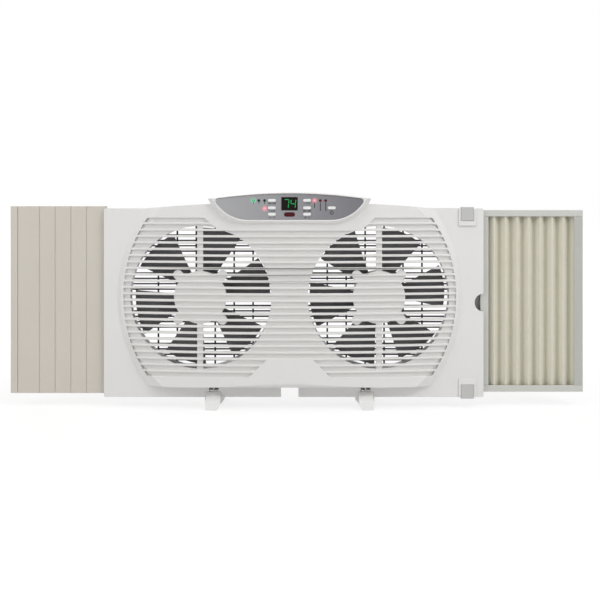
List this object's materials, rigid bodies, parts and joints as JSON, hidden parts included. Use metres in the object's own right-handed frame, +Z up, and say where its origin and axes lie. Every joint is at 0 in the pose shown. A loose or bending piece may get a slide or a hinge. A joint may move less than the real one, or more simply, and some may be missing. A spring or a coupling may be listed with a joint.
{
  "type": "window fan",
  "caption": "Twin window fan with a slatted front, a control panel, a sliding pleated curtain, a rigid side panel, clips and feet.",
  "frame": {"origin": "centre of the bounding box in plan, at the soles of the feet", "axes": "+X along the width towards the pleated curtain, +Y from the room side to the window side, +Z up"},
  "size_m": [0.9624, 0.114, 0.3606],
  "materials": {
    "front_shell": "fine satin off-white moulding",
    "rear_shell": "satin off-white moulding",
    "rear_rib": "dark moulding",
    "panel_grey": "printed grey, smooth",
    "display_tint": "dark tinted window",
    "display_case": "black moulding",
    "sensor_tint": "dark red tinted window",
    "lens": "clear tinted lens",
    "board": "solder mask",
    "switch_black": "black moulding",
    "screw_steel": "zinc plated",
    "button_white": "satin white",
    "motor_steel": "plated pressed steel",
    "bush_bronze": "sintered bronze, oiled",
    "shaft_steel": "ground steel",
    "blade_grey": "dark grey moulding, slight sheen",
    "side_greige": "satin warm grey",
    "frame_grey": "satin light grey",
    "pleat_sheet": "soft vinyl sheet, matte",
    "clip_grey": "satin light grey",
    "foot_white": "satin off-white moulding",
    "gland_grey": "dark flexible moulding"
  },
  "bodies": {
    "housing": {"front_housing": "front_shell", "rear_housing": "rear_shell", "rear_grille_left": "rear_rib", "rear_grille_right": "rear_rib", "control_fascia": "panel_grey", "display_window": "display_tint", "display_module": "display_case", "sensor_window": "sensor_tint", "indicator_lenses": "lens", "circuit_board": "board", "button_switches": "switch_black", "board_screws": "screw_steel", "housing_screws": "screw_steel", "motor_left": "motor_steel", "motor_right": "motor_steel", "motor_bushes_left": "bush_bronze", "motor_bushes_right": "bush_bronze", "motor_screws": "screw_steel", "curtain_inner_strip": "frame_grey", "foot_left": "foot_white", "foot_right": "foot_white", "cord_gland": "gland_grey"},
    "rotor_left": {"motor_shaft_left": "shaft_steel", "impeller_left": "blade_grey", "impeller_nut_left": "screw_steel"},
    "rotor_right": {"motor_shaft_right": "shaft_steel", "impeller_right": "blade_grey", "impeller_nut_right": "screw_steel"},
    "curtain_frame": {"curtain_top_rail": "frame_grey", "curtain_bottom_rail": "frame_grey", "curtain_end_stile": "frame_grey", "pleated_curtain": "pleat_sheet"},
    "side_wing": {"side_panel": "side_greige", "side_panel_end_cap": "side_greige"},
    "top_clip": {"clip_top": "clip_grey"},
    "bottom_clip": {"clip_bottom": "clip_grey"},
    "button_left_top": {"button_left_top": "button_white"},
    "button_left_middle": {"button_left_middle": "button_white"},
    "button_left_bottom": {"button_left_bottom": "button_white"},
    "button_right_top": {"button_right_top": "button_white"},
    "button_right_middle": {"button_right_middle": "button_white"},
    "button_right_bottom": {"button_right_bottom": "button_white"},
    "power_button": {"power_button": "button_white"}
  },
  "joints": [
    {"name": "left_fan_spin", "type": "hinge", "parent": "housing", "child": "rotor_left", "pos_m": [-0.15925, -0.005, 0.1867], "axis": [0, 1, 0], "continuous": true},
    {"name": "right_fan_spin", "type": "hinge", "parent": "housing", "child": "rotor_right", "pos_m": [0.13675, -0.005, 0.1867], "axis": [0, 1, 0], "continuous": true},
    {"name": "curtain_slide", "type": "slide", "parent": "housing", "child": "curtain_frame", "axis": [1, 0, 0], "range_m": [-0.12, 0], "deforming": ["pleated_curtain"]},
    {"name": "side_panel_pull", "type": "slide", "parent": "housing", "child": "side_wing", "axis": [-1, 0, 0], "range_m": [0, 0.03]},
    {"name": "top_clip_pull", "type": "slide", "parent": "housing", "child": "top_clip", "axis": [0, 0, 1], "range_m": [0, 0.02]},
    {"name": "bottom_clip_pull", "type": "slide", "parent": "housing", "child": "bottom_clip", "axis": [0, 0, -1], "range_m": [0, 0.014]},
    {"name": "left_top_press", "type": "slide", "parent": "housing", "child": "button_left_top", "axis": [0, 1, 0], "range_m": [0, 0.0008], "stiffness_N_per_m": 400},
    {"name": "left_middle_press", "type": "slide", "parent": "housing", "child": "button_left_middle", "axis": [0, 1, 0], "range_m": [0, 0.0008], "stiffness_N_per_m": 400},
    {"name": "left_bottom_press", "type": "slide", "parent": "housing", "child": "button_left_bottom", "axis": [0, 1, 0], "range_m": [0, 0.0008], "stiffness_N_per_m": 400},
    {"name": "right_top_press", "type": "slide", "parent": "housing", "child": "button_right_top", "axis": [0, 1, 0], "range_m": [0, 0.0008], "stiffness_N_per_m": 400},
    {"name": "right_middle_press", "type": "slide", "parent": "housing", "child": "button_right_middle", "axis": [0, 1, 0], "range_m": [0, 0.0008], "stiffness_N_per_m": 400},
    {"name": "right_bottom_press", "type": "slide", "parent": "housing", "child": "button_right_bottom", "axis": [0, 1, 0], "range_m": [0, 0.0008], "stiffness_N_per_m": 400},
    {"name": "power_button_press", "type": "slide", "parent": "housing", "child": "power_button", "axis": [0, 1, 0], "range_m": [0, 0.0008], "stiffness_N_per_m": 400}
  ]
}
